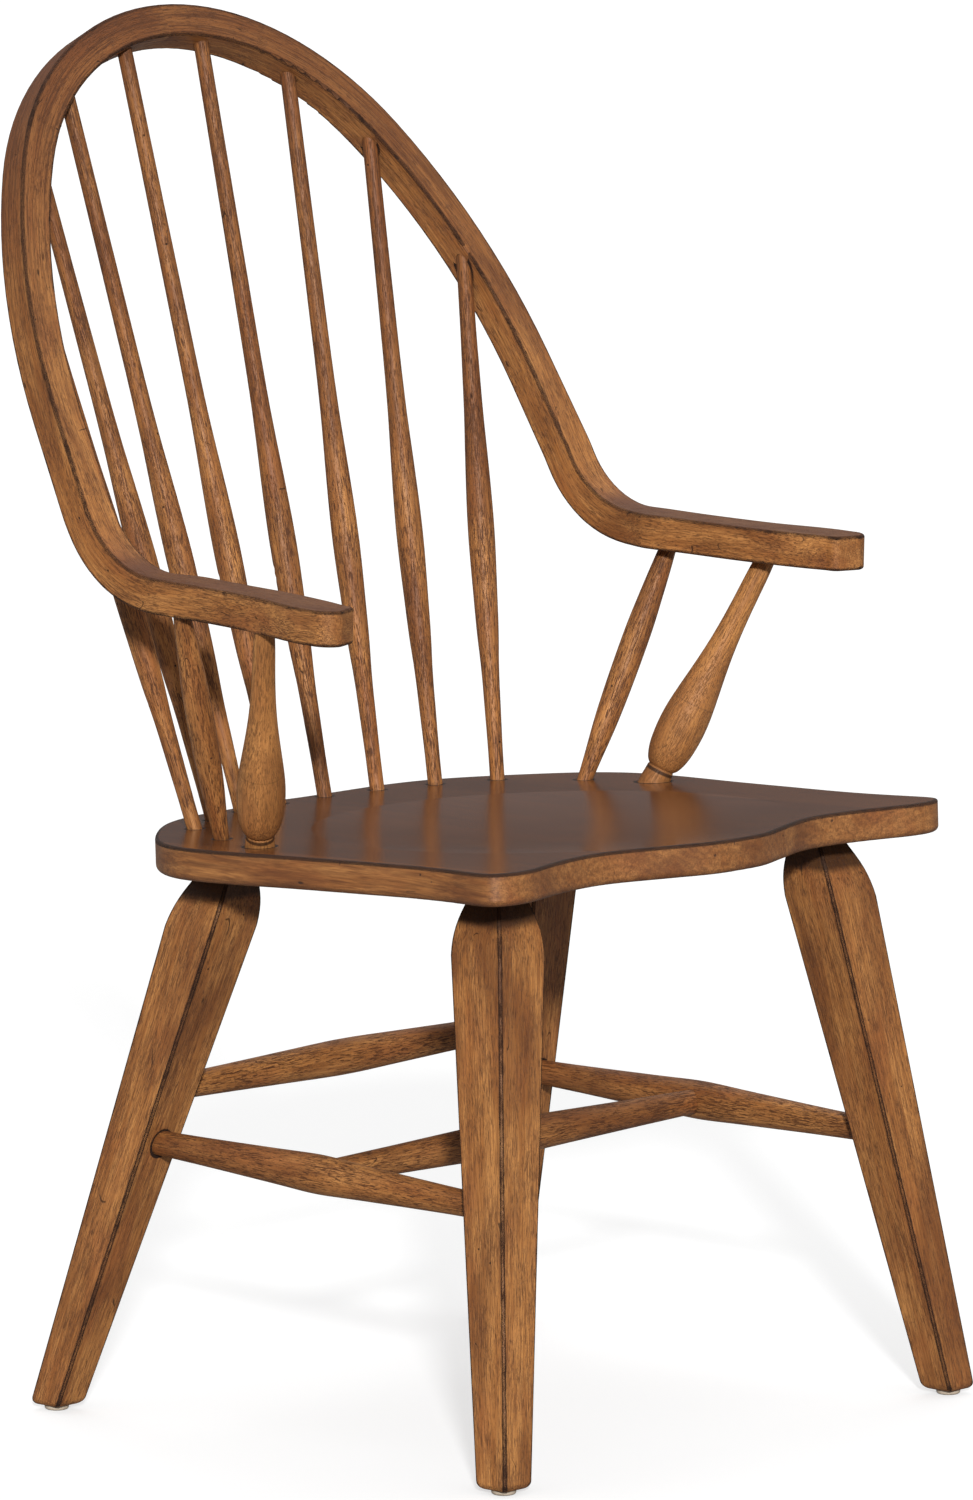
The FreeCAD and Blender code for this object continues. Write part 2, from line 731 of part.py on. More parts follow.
def make_bow():
    """Bent strip with the hoop and both arms cut to their outlines."""
    body = new_body("bow", Placement(on_bow_plane(0, 0, 0), Rotation()))
    outer = outer_hoop()
    inner = inner_hoop()
    depth = size("bow_depth")
    overrun = size("cut_overrun")
    edge_x = outer.foot.x + size("arm_width") + overrun
    strip_sketch = new_sketch(body, "bow_side", "YZ_Plane")
    strip_outline(strip_sketch)
    strip = body.newObject("PartDesign::Pad", "bow_strip")
    strip.Profile = strip_sketch
    strip.Midplane = True
    strip.Length = 2 * (edge_x - overrun)
    doc.recompute()

    # Each outline is drawn a strip's depth clear of the wood, and stops a little past the
    # corner, so that both meet in the bend.
    past = BEND_OVERLAP_SHARE * depth
    low = bow_corner_along() - past
    clear = Vector(0, 0, depth)
    leaning = Rotation(Vector(1, 0, 0), -size("bow_lean"))
    on_back = Placement(leaning.multVec(clear), leaning)
    window = new_sketch(body, "hoop_window", "XZ_Plane", on_back)
    inner.draw(window, low)
    add_lines(window, [Vector(-inner.foot.x, low, 0), Vector(inner.foot.x, low, 0)])
    around = new_sketch(body, "hoop_outside", "XZ_Plane", on_back)
    outer.draw(around, low)
    high = size("bow_height") + 2 * overrun
    add_lines(around, [
        Vector(-outer.foot.x, low, 0), Vector(-edge_x, low, 0), Vector(-edge_x, high, 0),
        Vector(edge_x, high, 0), Vector(edge_x, low, 0), Vector(outer.foot.x, low, 0),
    ])
    for sketch in (window, around):
        sketch.setExpression("AttachmentOffset.Rotation.Angle", "Sizes.bow_lean * -1")
    cut_through(body, "hoop_window_cut", window)
    cut_through(body, "hoop_outside_cut", around)

    # One area holds the space between the arms, what lies outside them and what lies ahead.
    lean = angle("bow_lean")
    corner = Vector(0, math.sin(lean), math.cos(lean)) * bow_corner_along()
    dropping = Rotation(Vector(1, 0, 0), size("arm_drop"))
    plan = new_sketch(
        body, "arm_plan", "XY_Plane", Placement(corner + dropping.multVec(clear), dropping))
    ahead = -(size("arm_length") + 2 * overrun)
    for side in (-1, 1):
        draw_arm(plan, side, inner.foot.x, outer.foot.x, past)
        add_lines(plan, [Vector(side * outer.foot.x, past, 0), Vector(side * edge_x, past, 0),
                         Vector(side * edge_x, ahead, 0)])
    add_lines(plan, [Vector(-inner.foot.x, past, 0), Vector(inner.foot.x, past, 0)])
    add_lines(plan, [Vector(-edge_x, ahead, 0), Vector(edge_x, ahead, 0)])
    cut = cut_through(body, "arm_plan_cut", plan)
    rounded = body.newObject("PartDesign::Fillet", "bow_edge_round")
    rounded.Base = (cut, sharp_edges(cut.Shape))
    rounded.setExpression("Radius", "Sizes.bow_edge_round")
    doc.recompute()
    return body


# Places of the turned pieces


def spindle_foot(number, side):
    """Foot of a long spindle on the seat's arc, counted outward from the middle."""
    turn = angle("spindle_foot_step") * (number - 0.5)
    reach = size("spindle_arc_radius")
    y = size("seat_rear_y") - size("spindle_arc_inset") - reach * (1 - math.cos(turn))
    return Vector(side * reach * math.sin(turn), y, seat_top_z(y))


def spindle_head(number, side, hoop):
    """Head of a long spindle, half way through the hoop's inner face."""
    x = size(f"spindle_top_x_{number}")
    return on_bow_plane(side * x, hoop.along_at(x), size("bow_depth") / 2)


def on_seat(name, side):
    """Foot of a short spindle or a post on the seat."""
    y = size(f"{name}_foot_y")
    return Vector(side * size(f"{name}_foot_x"), y, seat_top_z(y))


def under_arm(name, side):
    """Head of a short spindle or a post under the arm."""
    y = size(f"{name}_top_y")
    return Vector(side * size(f"{name}_top_x"), y, arm_under_z(y))


def slant_reach(axis, normal, diameter):
    """How much further the rim of a round bar reaches where it meets a slanting face."""
    return diameter / 2 * math.tan(axis.getAngle(normal))


def seat_joint(seat, label, foot, axis, diameter_name):
    """Length of a foot tenon in the seat's top, with its socket cut."""
    run = unit(axis) * -1
    slant = slant_reach(run, seat_normal() * -1, size(diameter_name))
    length = size("seat_tenon_length")
    cut_socket(seat, f"{label}_seat_socket", foot, run, length, f"Sizes.{diameter_name} / 2", slant)
    return length


def head_joint(bow, label, head, axis, normal, diameter_name, depth_name):
    """Length of a head tenon in the bow, with its socket cut."""
    run = unit(axis)
    slant = slant_reach(run, normal, size(diameter_name))
    length = slant + size(depth_name)
    cut_socket(bow, f"{label}_bow_socket", head, run, length, f"Sizes.{diameter_name} / 2", slant)
    return length


def make_long_spindle(seat, bow, hoop, index, number, side):
    """Long spindle from the seat to the hoop."""
    label = f"back_spindle_{index}"
    foot = spindle_foot(number, side)
    head = spindle_head(number, side, hoop)
    flat = hoop.normal_at(size(f"spindle_top_x_{number}"))
    lean = angle("bow_lean")
    normal = Vector(side * flat.x, math.sin(lean) * flat.y, math.cos(lean) * flat.y)
    axis = head - foot
    foot_tenon = seat_joint(seat, label, foot, axis, "spindle_foot_dia")
    head_tenon = head_joint(
        bow, label, head, axis, normal, "spindle_top_dia", "bow_tenon_length")
    stations = profile_stations(
        SPINDLE_SHARES, size("spindle_foot_dia"), size("spindle_belly_dia"),
        size("spindle_top_dia"))
    stations = trimmed_above(
        stations, SPINDLE_NECK_SHARE, size("spindle_pattern_length"), axis.Length)
    turned(label, foot, head, stations, ("Sizes.spindle_foot_dia / 2", foot_tenon),
           ("Sizes.spindle_top_dia / 2", head_tenon))


def arm_normal():
    """Upward normal of an arm."""
    drop = angle("arm_drop")
    return Vector(0, -math.sin(drop), math.cos(drop))


def make_short_spindle(seat, bow, side_name, side):
    """Short spindle from the seat to an arm."""
    label = f"short_spindle_{side_name}"
    foot = on_seat("short", side)
    head = under_arm("short", side)
    axis = head - foot
    foot_tenon = seat_joint(seat, label, foot, axis, "short_foot_dia")
    head_tenon = head_joint(
        bow, label, head, axis, arm_normal(), "short_top_dia", "arm_tenon_length")
    stations = profile_stations(
        SHORT_SPINDLE_SHARES, size("short_foot_dia"), size("short_belly_dia"),
        size("short_top_dia"))
    turned(label, foot, head, stations, ("Sizes.short_foot_dia / 2", foot_tenon),
           ("Sizes.short_top_dia / 2", head_tenon))


def make_post(seat, bow, side_name, side):
    """Turned post: a foot collar, a groove, a bulb and a long neck up to the hand."""
    label = f"arm_post_{side_name}"
    foot = on_seat("post", side)
    head = under_arm("post", side)
    axis = head - foot
    foot_tenon = seat_joint(seat, label, foot, axis, "post_foot_dia")
    head_tenon = head_joint(
        bow, label, head, axis, arm_normal(), "post_top_dia", "arm_tenon_length")
    groove = size("post_groove_dia") / 2
    lead = [(0.0, size("post_foot_dia") / 2), (POST_COLLAR_SHARE, size("post_collar_top_dia") / 2)]
    stations = [(POST_GROOVE_SHARE, groove)] + profile_stations(
        POST_SHARES, size("post_groove_dia"), size("post_bulb_dia"), size("post_top_dia"))[1:]
    turned(label, foot, head, stations, ("Sizes.post_foot_dia / 2", foot_tenon),
           ("Sizes.post_top_dia / 2", head_tenon), lead)


# Stretchers


def stretcher(label, start, end, shares, belly_name, tenon):
    """Stretcher with a soft belly between two faces, and a tenon past each of them."""
    end_dia = size("stretcher_end_dia")
    stations = profile_stations(mirrored(shares), end_dia, size(belly_name), end_dia)
    radius = "Sizes.stretcher_end_dia / 2"
    return turned(label, start, end, stations, (radius, tenon), (radius, tenon))


def leg_face_gap(which, side, point, run):
    """Distance from a leg's centre to its face along a direction."""
    half = leg_side(which, side, point.z) / 2
    return half / max(abs(run.x), abs(run.y))


def make_stretchers(legs):
    """Side stretchers, the cross stretcher between their middles and the rear stretcher."""
    tenon = size("stretcher_tenon_length")
    radius = "Sizes.stretcher_end_dia / 2"
    bellies = {}
    bodies = {}
    for side_name, side in SIDES:
        front = leg_centre("front", side, size("side_stretcher_front_height"))
        rear = leg_centre("rear", side, size("side_stretcher_rear_height"))
        run = unit(rear - front)
        start = front + run * leg_face_gap("front", side, front, run)
        end = rear - run * leg_face_gap("rear", side, rear, run)
        label = f"side_stretcher_{side_name}"
        bodies[side] = stretcher(
            label, start, end, SIDE_STRETCHER_SHARES, "side_stretcher_belly_dia", tenon)
        cut_socket(legs["front", side], f"{label}_front_socket", start, run * -1, tenon, radius,
                   slant_reach(run, Vector(0, 1, 0), size("stretcher_end_dia")))
        cut_socket(legs["rear", side], f"{label}_rear_socket", end, run, tenon, radius,
                   slant_reach(run, Vector(0, 1, 0), size("stretcher_end_dia")))
        bellies[side] = (start + end) / 2
    inward = Vector(1, 0, 0)
    belly = size("side_stretcher_belly_dia") / 2
    start = bellies[-1] + inward * belly
    end = bellies[1] - inward * belly
    cross_tenon = size("cross_tenon_length")
    stretcher("cross_stretcher", start, end, CROSS_STRETCHER_SHARES,
              "cross_stretcher_belly_dia", cross_tenon)
    for side, mouth in ((-1, start), (1, end)):
        cut_socket(bodies[side], f"cross_socket_{side + 2}", mouth, inward * side, cross_tenon,
                   radius)
    right = leg_centre("rear", -1, size("rear_stretcher_height"))
    left = leg_centre("rear", 1, size("rear_stretcher_height"))
    reach = inward * leg_face_gap("rear", 1, left, inward)
    stretcher("rear_stretcher", right + reach, left - reach, REAR_STRETCHER_SHARES,
              "rear_stretcher_belly_dia", tenon)
    slant = slant_reach(leg_slope("rear", 1), Vector(0, 0, 1), size("stretcher_end_dia"))
    cut_socket(legs["rear", -1], "rear_socket_right", right + reach, inward * -1, tenon, radius,
               slant)
    cut_socket(legs["rear", 1], "rear_socket_left", left - reach, inward, tenon, radius, slant)


# The whole chair


def make_chair():
    """Every piece of the chair, with the sockets that join it."""
    seat = make_seat()
    legs = {}
    for which in ("front", "rear"):
        for side_name, side in SIDES:
            legs[which, side] = make_leg(which, side_name, side)
            top = leg_top(which, side)
            run = unit(leg_slope(which, side))
            slant = slant_reach(run, seat_normal(), size("leg_tenon_dia"))
            cut_socket(seat, f"{which}_{side_name}_leg_socket", top, run,
                       size("leg_tenon_length"), "Sizes.leg_tenon_dia / 2", slant)
            make_glide(which, side_name, side)
    bow = make_bow()
    hoop = inner_hoop()
    places = [(number, -1) for number in (4, 3, 2, 1)] + [(number, 1) for number in (1, 2, 3, 4)]
    for index, (number, side) in enumerate(places, start=1):
        make_long_spindle(seat, bow, hoop, index, number, side)
    for side_name, side in SIDES:
        make_short_spindle(seat, bow, side_name, side)
        make_post(seat, bow, side_name, side)
    make_stretchers(legs)
    doc.recompute()


def centre_on_floor():
    """Move every piece so that the origin is on the floor under the middle of the chair."""
    box = FreeCAD.BoundBox()
    for body in nodes:
        box.add(body.Shape.optimalBoundingBox(False, False))
    shift = Vector(-box.Center.x, -box.Center.y, -box.ZMin)
    for body in nodes:
        body.Placement = Placement(body.Placement.Base + shift, body.Placement.Rotation)
    doc.recompute()


def check_and_export():
    """Stop on any failed object or open solid, then write one file for each piece."""
    failed = [item.Name for item in doc.Objects if {"Invalid", "Error"} & set(item.State)]
    for body in nodes:
        shape = body.Shape
        if shape.isNull() or not shape.isValid() or len(shape.Solids) != 1:
            failed.append(body.Label)
    if failed:
        raise RuntimeError(f"not one valid solid: {failed}")
    os.makedirs(PARTS_FOLDER, exist_ok=True)
    for body in nodes:
        body.Shape.exportStep(os.path.join(PARTS_FOLDER, f"{body.Label}.step"))


make_chair()
centre_on_floor()
check_and_export()
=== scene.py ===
import math

import bpy
import numpy as np
from mathutils import Matrix, Vector


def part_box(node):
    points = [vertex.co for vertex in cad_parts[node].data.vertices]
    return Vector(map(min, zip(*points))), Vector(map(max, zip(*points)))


# Looks of a windsor armchair: stained wood with a dark glaze rubbed into its edges, joints
# and pores, on a pale floor in soft studio light. Lengths are in metres. A step is a pair of
# values, where something begins to show and where it shows fully. A share is how strongly.

# Camera, as the chair was photographed
CAMERA_PLACE = (-6.8865, -6.3445, 1.8913)
CAMERA_PITCH = 81.59
CAMERA_YAW = -47.58
CAMERA_LENS = 291.96
CAMERA_SENSOR = 36.0
CAMERA_FAR = 400.0

# Light: a key beside the camera and a little above it, a weak broad fill from behind, a dim sky
# that is brighter overhead, and a floor that looks paler to the camera than it is to the chair
KEY_FROM = Vector((-0.703, -0.713, 0.36))
KEY_STRENGTH = 3.1
KEY_SOFTNESS = 4.0
FILL_FROM = Vector((0.62, 0.48, 1.25))
FILL_STRENGTH = 0.42
FILL_SOFTNESS = 35.0
SKY_TOP = 0.70
SKY_EDGE = 0.08
SKY_STEP = (0.0, 0.75)
FLOOR_SEEN = 0.52
FLOOR_GLOW = 0.57
FLOOR_BOUNCE = 0.30
FLOOR_SIDE = 160.0
WHITE = (1, 1, 1, 1)

# Stain and glaze, as linear colours
STAIN_LIGHT = (0.590, 0.265, 0.080, 1)
STAIN_MIDDLE = (0.400, 0.155, 0.040, 1)
STAIN_RED = (0.330, 0.098, 0.030, 1)
STAIN_DARK = (0.150, 0.047, 0.014, 1)
GLAZE = (0.020, 0.008, 0.004, 1)
GLAZE_THIN = (0.085, 0.030, 0.011, 1)
SEAT_TOP = (0.088, 0.028, 0.010, 1)
SEAT_TOP_LIGHT = (0.165, 0.056, 0.019, 1)
GLIDE_PALE = (0.58, 0.48, 0.37, 1)
GLIDE_DIRT = (0.22, 0.16, 0.11, 1)

# Patterns: how many to a metre across and along the grain, then detail, roughness, distortion
FIGURE = (70, 6, 3.0, 0.55, 0.9)
BROAD = (24, 9, 2.0, 0.5, 0.6)
RED = (38, 14, 2.0, 0.5, 0.3)
FIBRE = (720, 30, 2.0, 0.6, 0.0)
WORN = (240, 150, 3.0, 0.65, 0.0)
CHIP = (90, 34, 2.0, 0.6, 0.0)
STREAK = (430, 9, 2.0, 0.6, 0.15)
PORE_PATCH = (60, 22, 1.0, 0.5, 0.0)
LONG_PORE = (1500, 105, 1.0, 0.5, 0.1)
SHORT_PORE = (1500, 420, 1.0, 0.5, 0.0)
SCRATCH = (42, 12, 1.0, 0.4, 0.4)
SCRATCH_PATCH = (65, 45, 1.0, 0.5, 0.0)
RING_WOBBLE = (30, 30, 2.0, 0.5, 0.0)
SEAT_STREAK = (120, 7, 3.0, 0.55, 0.5)
SEAT_CLOUD = (8, 8, 2.0, 0.5, 0.0)
GLIDE_SPECK = (420, 420, 3.0, 0.6, 0.0)
GLIDE_PATCH = (90, 90, 2.0, 0.5, 0.0)

# Steps and shares of the stain's layers, in the order in which they go on
FIGURE_STEP = (0.30, 0.72)
RED_STEP = (0.45, 0.72)
RED_SHARE = 0.45
BROAD_STEP = (0.42, 0.70)
BROAD_SHARE = 0.62
FIBRE_STEP = (0.36, 0.66)
FIBRE_SHARE = 0.52
STREAK_STEP = (0.49, 0.60)
STREAK_SHARE = 0.12
STREAK_WITH_TONE = 0.80
SPECK_SHARE = 0.50
PORE_SHARE = 0.92

# Pores, which open sooner where their patch is strong
PORE_IN_PATCH = 0.28
PORE_STEP = (0.680, 0.77)
SPECK_IN_PATCH = 0.25
SPECK_STEP = (0.67, 0.78)

# Glaze: rubbed thin round an edge, left round a joint, and left as a ragged line on a sharp edge
EDGE_REACH = 0.0032
EDGE_SAMPLES = 24
JOINT_REACH = 0.006
JOINT_SAMPLES = 4
RUB_BROAD = 0.16
RUB_STEP = (0.03, 0.14)
RUB_SHARE = 0.20
JOINT_WORN = 0.25
JOINT_STEP = (0.30, 0.95)
JOINT_SHARE = 0.40
LINE_RAGGED = 0.07
LINE_STEP = (0.082, 0.100)
LINE_SHARE = 0.98

# Distress. Dents and worm holes: cells to a metre across and along, the share of cells that
# have a mark, its size in cells, and how dark it is. Scratches follow the middle of a pattern.
DENT = (70, 26, 0.10, 0.11, 0.8)
WORM_HOLE = (95, 95, 0.05, 0.12, 0.9)
MARK_CORE = 0.45
SCRATCH_STEP = (0.0060, 0.0022)
SCRATCH_PATCH_STEP = (0.62, 0.67)
SCRATCH_SHARE = 0.75

# Surface of the wood: what each pattern adds to its roughness, and what raises or sinks it
ROUGH_BASE = 0.46
ROUGH_FIGURE = 0.10
ROUGH_PORES = 0.15
ROUGH_HURT = 0.2
ROUGH_LINE = 0.50
RAISE_FIBRE = 0.3
RAISE_BROAD = 0.2
SINK_PORES = 0.7
SINK_SPECKS = 0.3
SINK_HURT = 1.3
SINK_LINE = 0.5
RELIEF_STRENGTH = 0.6
RELIEF_DEPTH = 0.0006
SHEEN = 0.28

# Each straight piece has its own tone and its own stretch of the patterns.
TONE_SPREAD = 0.16
TONE_TURN = 0.618
PIECE_SHIFT = (0.31, 0.17, 0.53)
SPINDLE_TOP_TONE = 0.40
SPINDLE_TONE_STEP = (0.55, 1.0)

# Legs: how open their pores are, how high the tenon rises in the seat, and how far below
# the seat a painted shadow of the seat darkens the top of each leg
LEG_OPEN = 0.7
LEG_TENON_RISE = 0.018
LEG_TOP_SHADOW_REACH = 0.027
LEG_TOP_SHADOW_FULL = 0.75
LEG_TOP_SHADOW_SHARE = 0.8

# Turned post, counted up from its foot: the tenon, the groove over the collar, a scribed ring
POST_TENON = 0.014
POST_GROOVE = 0.0135
POST_RING = 0.074
POST_GROOVE_STEP = (0.0020, 0.0008)
POST_GROOVE_SHARE = 0.85
POST_RING_STEP = (0.0009, 0.0003)
POST_RING_SHARE = 0.22
POST_PALE_SHARE = 0.22

# Seat: boards to a metre of width and where they begin, their growth rings round a heart, the
# glazed top, and the dark rim and underside
SEAT_BOARDS = 9.4
SEAT_BOARD_START = 40.3
RING_COUNT = 900.0
RING_STEP = (-0.9, 1.0)
RING_SHARE = 0.22
RING_WOBBLE_DEPTH = 0.012
HEART_HEIGHT = 0.40
HEART_SPREAD = 0.03
SEAT_GRAIN_SHIFT = (0.2, 0.4, 0.7)
SEAT_TONE = 0.30
SEAT_SHEEN = 0.43
SEAT_OPEN = 0.15
SEAT_UP_STEP = (0.72, 0.93)
SEAT_MIX_BOARD = 0.45
SEAT_MIX_STREAK = 0.45
SEAT_MIX_CLOUD = 0.35
SEAT_MIX_STEP = (0.32, 0.86)
SEAT_BARE_SHARE = 0.07
SEAT_UNDER_STEP = (0.5, 0.9)
SEAT_UNDER_SHARE = 0.35
SEAT_EDGE_GAIN = 1.45
SEAT_RIM_STEP = (0.04, 0.08)
SEAT_RIM_SHARE = 0.95
SEAT_ROUGH = 0.175
SEAT_ROUGH_STREAK = 0.05
SEAT_ROUGH_RIM = 0.6

# Glides
GLIDE_DIRT_STEP = (0.48, 0.66)
GLIDE_DIRT_SHARE = 0.45
GLIDE_ROUGH = 0.42
GLIDE_ROUGH_SPECK = 0.2
GLIDE_RELIEF_STRENGTH = 0.3
GLIDE_RELIEF_DEPTH = 0.0002

# Bow: its tone by height, less where it faces down (partly painted bounce light from the floor,
# partly thinner glaze), and the dark top of the arms
BOW_OPEN = 0.75
BOW_TONE = 0.05
BOW_TOP_TONE = 0.64
BOW_TONE_STEP = (0.72, 1.02)
BOW_BOUNCE_STEP = (-0.55, 0.10)
BOW_BOUNCE_TONE_LEFT = 0.38
ARM_TOP_STEP = (0.80, 0.97)
ARM_TOP_SHARE = 0.72

# Places on the bow that no glaze line belongs to: the arms' ends, and over its sockets
ARM_END = 0.028
END_MARGIN = 0.0055
SOCKET_DEEP = 0.006
SOCKET_REACH = 0.0115
POST_SOCKET_REACH = 0.0155

# Bow, in the plane of its leaning back: the plane's foot, its lean, and the middle line of the
# strip, which is an arc at the crown and a wider arc down each side
BOW_FOOT = Vector((0.0, -0.04723, 0.4522))
BOW_LEAN = math.radians(29.05)
CROWN_CENTRE = 0.462
CROWN_RADIUS = 0.2325
CROWN_TURN = math.radians(57.5)
SIDE_CENTRE = (-0.197, 0.3365)
SIDE_RADIUS = 0.4665
SIDE_TURN = math.radians(85.4)
BEND_RADIUS = 0.076
BOW_DEPTH = 0.0275
CORNER_ALONG = 0.2168 / math.cos(BOW_LEAN)
ARM_DROP = math.radians(1.56)


class Term:
    """A number or vector inside a node tree, written into sums as if it were a plain one."""

    def __init__(self, tree, socket):
        self.tree = tree
        self.socket = socket

    def math(self, operation, other=None, third=None):
        node = self.tree.nodes.new("ShaderNodeMath")
        node.operation = operation
        for index, value in enumerate((self, other, third)):
            if value is not None:
                feed(self.tree, node.inputs[index], value)
        return Term(self.tree, node.outputs[0])

    def __add__(self, other):
        return self.math("ADD", other)

    def __sub__(self, other):
        return self.math("SUBTRACT", other)

    def __rsub__(self, other):
        return self.math("MULTIPLY_ADD", -1.0, other)

    def __mul__(self, other):
        return self.math("MULTIPLY", other)

    __radd__ = __add__
    __rmul__ = __mul__

    def over(self, other):
        """1 where this is the larger."""
        return self.math("GREATER_THAN", other)

    def rise(self, low, high):
        """Smooth step from 0 at low to 1 at high."""
        node = self.tree.nodes.new("ShaderNodeMapRange")
        node.interpolation_type = "SMOOTHSTEP"
        feed(self.tree, node.inputs["Value"], self)
        node.inputs["From Min"].default_value = low
        node.inputs["From Max"].default_value = high
        return Term(self.tree, node.outputs["Result"])


def feed(tree, socket, value):
    """Link a term or a socket, or set a plain value."""
    if isinstance(value, Term):
        value = value.socket
    if isinstance(value, bpy.types.NodeSocket):
        tree.links.new(value, socket)
    else:
        socket.default_value = value


def linked(tree, socket):
    """What is linked to a socket."""
    return Term(tree, socket.links[0].from_socket)


def add(tree, kind, inputs=None, **settings):
    """New node with its settings and inputs."""
    node = tree.nodes.new(kind)
    for name, value in settings.items():
        setattr(node, name, value)
    for name, value in (inputs or {}).items():
        feed(tree, node.inputs[name], value)
    return node


def split(tree, vector):
    """The three parts of a vector."""
    parts = add(tree, "ShaderNodeSeparateXYZ", {0: vector})
    return tuple(Term(tree, parts.outputs[axis]) for axis in range(3))


def stretched(tree, place, across, along):
    """The place scaled for a pattern that is longer along Z, the way of the grain."""
    node = add(tree, "ShaderNodeVectorMath", {0: place, 1: (across, across, along)},
               operation="MULTIPLY")
    return Term(tree, node.outputs[0])


def pattern(tree, place, look):
    """Noise of one of the patterns named above."""
    across, along, detail, roughness, distortion = look
    node = add(tree, "ShaderNodeTexNoise", {
        "Vector": stretched(tree, place, across, along), "Scale": 1.0, "Detail": detail,
        "Roughness": roughness, "Distortion": distortion})
    return Term(tree, node.outputs["Fac"])


def marks(tree, place, look):
    """Dents or holes: a mark in a few of the cells of a stretched place."""
    across, along, chosen, size, share = look
    node = add(tree, "ShaderNodeTexVoronoi", {
        "Vector": stretched(tree, place, across, along), "Scale": 1.0, "Randomness": 1.0})
    part = add(tree, "ShaderNodeSeparateColor", {0: node.outputs["Color"]})
    picked = Term(tree, part.outputs[0]).over(1 - chosen)
    near = Term(tree, node.outputs["Distance"]).rise(size, size * MARK_CORE)
    return picked * near * share


def blend(tree, amount, first, second):
    """Mix of two colours."""
    node = add(tree, "ShaderNodeMix", {0: amount, 6: first, 7: second}, data_type="RGBA")
    return Term(tree, node.outputs[2])


def layered(tree, colour, layers):
    """A colour with layers over it, each an amount and the layer's own colour."""
    for amount, over in layers:
        colour = blend(tree, amount, colour, over)
    return colour


def edge_and_joint(tree):
    """Masks that grow towards a sharp edge, and towards whatever is close outside."""
    inside = add(tree, "ShaderNodeAmbientOcclusion", {"Distance": EDGE_REACH},
                 samples=EDGE_SAMPLES, inside=True, only_local=True)
    outside = add(tree, "ShaderNodeAmbientOcclusion", {"Distance": JOINT_REACH},
                  samples=JOINT_SAMPLES)
    edge = 1.0 - Term(tree, inside.outputs["AO"])
    joint = 1.0 - Term(tree, outside.outputs["AO"])
    return edge, joint


def new_group(name, inputs, outputs):
    """Empty node group with its sockets."""
    tree = bpy.data.node_groups.new(name, "ShaderNodeTree")
    for socket, kind in inputs:
        tree.interface.new_socket(name=socket, in_out="INPUT", socket_type=kind)
    for socket, kind in outputs:
        tree.interface.new_socket(name=socket, in_out="OUTPUT", socket_type=kind)
    return tree, tree.nodes.new("NodeGroupInput"), tree.nodes.new("NodeGroupOutput")


def pores_and_specks(tree, place, opened):
    """Short dark lines and shorter ones, closer together in some patches."""
    patch = pattern(tree, place, PORE_PATCH)
    long_pores = pattern(tree, place, LONG_PORE) + patch * PORE_IN_PATCH
    short_pores = pattern(tree, place, SHORT_PORE) + patch * SPECK_IN_PATCH
    return long_pores.rise(*PORE_STEP) * opened, short_pores.rise(*SPECK_STEP) * opened


def distress(tree, place):
    """Short dents, worm holes and thin scratches."""
    middle = (pattern(tree, place, SCRATCH) - 0.5).math("ABSOLUTE")
    scratch = middle.rise(*SCRATCH_STEP)
    scratch = scratch * pattern(tree, place, SCRATCH_PATCH).rise(*SCRATCH_PATCH_STEP)
    holes = marks(tree, place, DENT).math("MAXIMUM", marks(tree, place, WORM_HOLE))
    return holes.math("MAXIMUM", scratch * SCRATCH_SHARE)


def make_wood_group():
    """Open-pored stained wood. Place is in metres, with Z along the grain."""
    tree, given, result = new_group(
        "stained_wood",
        (("Place", "NodeSocketVector"), ("Tone", "NodeSocketFloat"), ("Edge", "NodeSocketFloat"),
         ("Joint", "NodeSocketFloat"), ("Open", "NodeSocketFloat")),
        (("Color", "NodeSocketColor"), ("Roughness", "NodeSocketFloat"),
         ("Height", "NodeSocketFloat")))
    place = given.outputs["Place"]
    tone, edge, near, opened = (
        Term(tree, given.outputs[name]) for name in ("Tone", "Edge", "Joint", "Open"))
    figure, broad, red, fibre, worn, chip, streak = (
        pattern(tree, place, look)
        for look in (FIGURE, BROAD, RED, FIBRE, WORN, CHIP, STREAK))
    pores, specks = pores_and_specks(tree, place, opened)
    hurt = distress(tree, place)
    rub = edge + (broad - 0.5) * RUB_BROAD
    joint = near + (worn - 0.5) * JOINT_WORN
    ragged = edge + (worn - 0.5) * LINE_RAGGED + (chip - 0.5) * LINE_RAGGED
    line = ragged.rise(*LINE_STEP)
    colour = layered(tree, STAIN_LIGHT, (
        (figure.rise(*FIGURE_STEP), STAIN_MIDDLE),
        (red.rise(*RED_STEP) * RED_SHARE, STAIN_RED),
        (broad.rise(*BROAD_STEP) * BROAD_SHARE, STAIN_DARK),
        (fibre.rise(*FIBRE_STEP) * FIBRE_SHARE, STAIN_DARK),
        (tone, STAIN_DARK),
        (streak.rise(*STREAK_STEP) * (tone * STREAK_WITH_TONE + STREAK_SHARE), GLAZE_THIN),
        (specks * SPECK_SHARE, GLAZE_THIN),
        (pores * PORE_SHARE, GLAZE_THIN),
        (rub.rise(*RUB_STEP) * RUB_SHARE, GLAZE_THIN),
        (joint.rise(*JOINT_STEP) * JOINT_SHARE, GLAZE),
        (hurt, GLAZE),
        (line * LINE_SHARE, GLAZE)))
    rough = (ROUGH_BASE + figure * ROUGH_FIGURE + pores * ROUGH_PORES + hurt * ROUGH_HURT
             + line * ROUGH_LINE)
    height = (fibre * RAISE_FIBRE - pores * SINK_PORES - specks * SINK_SPECKS
              - hurt * SINK_HURT - line * SINK_LINE + broad * RAISE_BROAD)
    feed(tree, result.inputs["Color"], colour)
    feed(tree, result.inputs["Roughness"], rough)
    feed(tree, result.inputs["Height"], height)
    return tree


